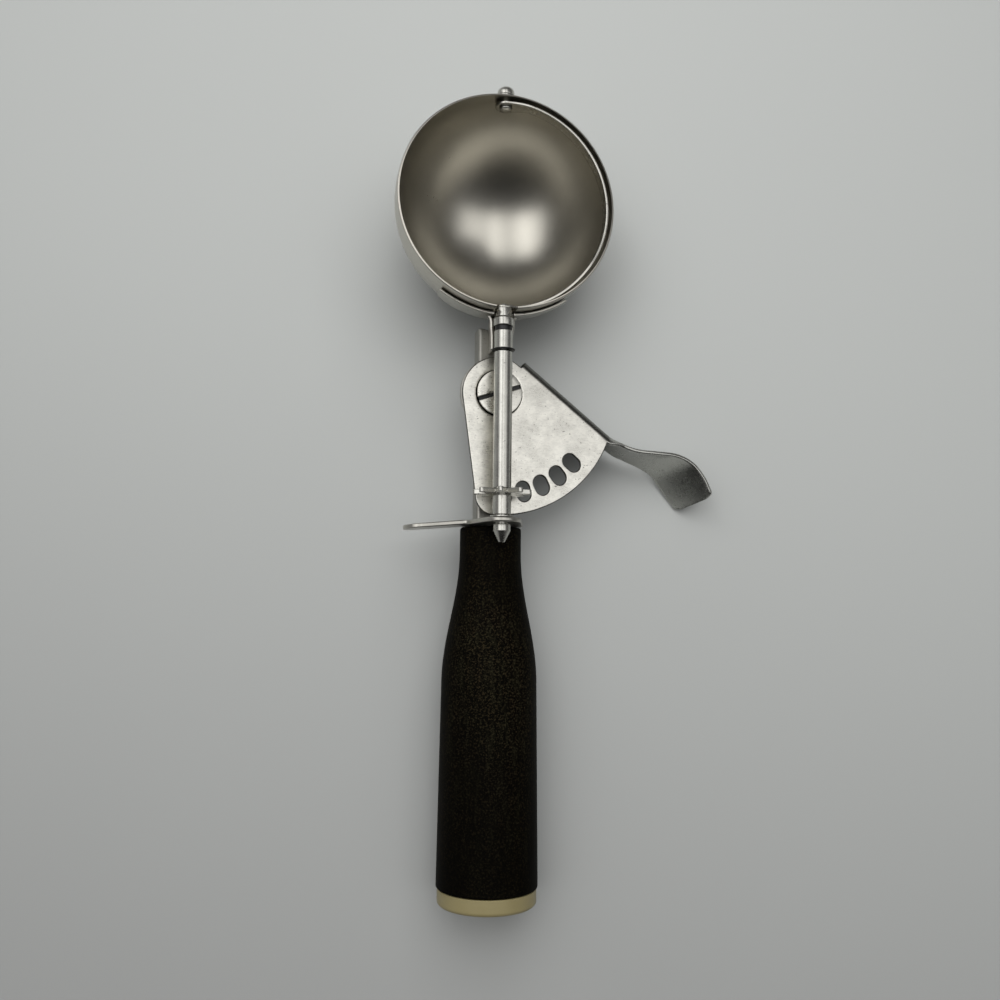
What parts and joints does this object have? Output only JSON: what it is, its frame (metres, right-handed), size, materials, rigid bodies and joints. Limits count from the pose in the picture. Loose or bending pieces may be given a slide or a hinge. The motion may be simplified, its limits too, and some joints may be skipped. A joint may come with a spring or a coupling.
{
  "type": "ice cream scoop",
  "caption": "Thumb-lever ice cream scoop: a steel bowl with a scraper band swung by a toothed shaft and a slotted sector lever, on a dark grip with a cream end cap.",
  "frame": {"origin": "centre of the butt cap's flat end face, on the grip's axis", "axes": "+Y along the grip from the butt to the bowl; +Z out of the bowl's mouth; +X to the thumb lever"},
  "size_m": [0.109, 0.2574, 0.0437],
  "materials": {
    "steel": "satin, lightly scratched",
    "satin_steel": "satin, spun",
    "dark_steel": "blackened",
    "grip_brown": "matte, worn",
    "cap_cream": "semi-gloss"
  },
  "bodies": {
    "frame": {"bowl": "satin_steel", "nose_pin": "steel", "nose_washer": "steel", "bowl_saddle": "steel", "bearing_sleeve": "steel", "pivot_screw": "steel", "pivot_bushing": "steel", "pivot_washer": "steel", "pivot_nut": "steel", "spring_cup": "steel", "torsion_spring": "steel", "frame_stem": "steel", "bolster_plate": "steel", "grip": "grip_brown", "butt_cap": "cap_cream", "tang_rod": "steel", "tang_washer": "steel", "tang_nut": "steel"},
    "lever": {"sector_lever": "steel"},
    "scraper": {"scraper_blade": "steel", "scraper_hub": "steel", "drive_shaft": "steel", "snap_ring": "dark_steel", "star_wheel": "steel", "spacer_tube": "steel", "thrust_washer": "steel", "shaft_ferrule": "steel"}
  },
  "joints": [
    {"name": "lever_press", "type": "hinge", "parent": "frame", "child": "lever", "pos_m": [0.0007, 0.159, 0.0066], "axis": [0, 0, -1], "range_deg": [0, 45], "stiffness_Nm_per_rad": 0.15, "springref_deg": -20.05},
    {"name": "scraper_swing", "type": "hinge", "parent": "frame", "child": "scraper", "pos_m": [0, 0.16, 0.0155], "axis": [0, 1, 0], "range_deg": [0, 180]}
  ],
  "couplings": [
    {"joint": "scraper_swing", "follows": "lever_press", "ratio": 4}
  ]
}
